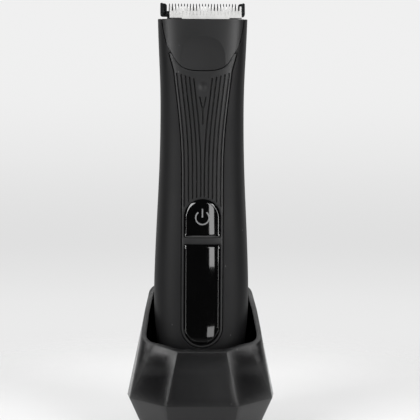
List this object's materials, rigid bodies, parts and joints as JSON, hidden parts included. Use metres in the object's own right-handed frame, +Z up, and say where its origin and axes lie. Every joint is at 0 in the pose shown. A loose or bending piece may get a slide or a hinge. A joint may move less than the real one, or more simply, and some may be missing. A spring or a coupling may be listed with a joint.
{
  "type": "body groomer",
  "caption": "Cordless body groomer with a lift-off blade head, standing in a faceted charging dock.",
  "frame": {"origin": "middle of the dock's foot, on the table", "axes": "+Z up along the groomer, -Y towards the front with the power button, +X to the right seen from the front"},
  "size_m": [0.0608, 0.048, 0.1776],
  "materials": {
    "dock_black": "semi-matt fine grain",
    "handle_black": "soft-touch matt",
    "panel_black": "satin",
    "gloss_black": "high gloss",
    "symbol_grey": "printed",
    "ceramic_white": "polished ceramic",
    "blade_coating": "dark hard coating",
    "steel": "bright",
    "brass": "bright",
    "contact_gold": "plated",
    "inner_plastic": "moulded",
    "white_plastic": "moulded",
    "clear_plastic": "clear",
    "board_green": "solder mask",
    "chip_black": "moulded",
    "cell_wrap": "shrink wrap",
    "magnet_grey": "sintered",
    "copper": "bright",
    "rubber_black": "matt",
    "ballast_iron": "zinc plated"
  },
  "bodies": {
    "dock": {"dock_shell": "dock_black", "dock_cup": "dock_black", "dock_base_plate": "dock_black", "anti_slip_pad": "rubber_black", "dock_ballast": "ballast_iron", "dock_circuit_board": "board_green", "dock_board_components": "chip_black", "dock_usb_socket": "steel", "dock_screws": "steel", "contact_block": "inner_plastic", "contact_sleeves": "brass", "contact_springs": "steel"},
    "contact_pins": {"contact_pins": "contact_gold"},
    "handle": {"front_shell": "handle_black", "rear_shell": "handle_black", "housing_screws": "steel", "front_panel": "panel_black", "display_window": "gloss_black", "button_seal": "rubber_black", "switch_base": "steel", "main_circuit_board": "board_green", "board_components": "chip_black", "indicator_leds": "white_plastic", "light_guide": "clear_plastic", "battery_cell": "cell_wrap", "battery_tabs": "steel", "battery_cradle": "inner_plastic", "motor_can": "steel", "motor_end_cap": "white_plastic", "motor_terminals": "copper", "motor_bushes": "brass", "motor_magnets": "magnet_grey", "motor_bracket": "inner_plastic", "motor_screws": "steel", "head_socket": "inner_plastic", "shaft_seal": "rubber_black", "latch_clips": "steel", "end_cap": "handle_black", "charge_pads": "contact_gold", "end_cap_seal": "rubber_black"},
    "rotor": {"motor_shaft": "steel", "motor_armature": "copper", "commutator": "copper", "eccentric_cam": "white_plastic", "drive_pin": "steel"},
    "blade_head": {"head_cover": "panel_black", "head_base": "handle_black", "fixed_blade": "blade_coating", "blade_screws": "steel", "blade_spring": "steel"},
    "cutter": {"ceramic_cutter": "ceramic_white", "cutter_carrier": "white_plastic", "carrier_pins": "steel"},
    "power_button": {"power_button": "gloss_black", "power_symbol": "symbol_grey"},
    "switch_plunger": {"switch_plunger": "chip_black"}
  },
  "joints": [
    {"name": "handle_lift", "type": "slide", "parent": "dock", "child": "handle", "axis": [0, 0, 1], "range_m": [0, 0.06]},
    {"name": "head_release", "type": "slide", "parent": "handle", "child": "blade_head", "axis": [0, 0, 1], "range_m": [0, 0.03]},
    {"name": "motor_turn", "type": "hinge", "parent": "handle", "child": "rotor", "pos_m": [0, -0.0015, 0.12], "axis": [0, 0, 1], "range_deg": [0, 180]},
    {"name": "cutter_stroke", "type": "slide", "parent": "blade_head", "child": "cutter", "axis": [1, 0, 0], "range_m": [-0.0025, 0]},
    {"name": "button_press", "type": "slide", "parent": "handle", "child": "power_button", "axis": [0, 1, 0], "range_m": [0, 0.00035], "stiffness_N_per_m": 900, "springref_m": -0.0005},
    {"name": "switch_press", "type": "slide", "parent": "handle", "child": "switch_plunger", "axis": [0, 1, 0], "range_m": [0, 0.00035]},
    {"name": "pin_press", "type": "slide", "parent": "dock", "child": "contact_pins", "axis": [0, 0, -1], "range_m": [0, 0.0008], "stiffness_N_per_m": 150, "springref_m": -0.001, "deforming": ["contact_springs"]}
  ],
  "couplings": [
    {"joint": "cutter_stroke", "follows": "motor_turn", "m_per_rad": -0.00079577},
    {"joint": "switch_press", "follows": "button_press", "ratio": 1}
  ]
}
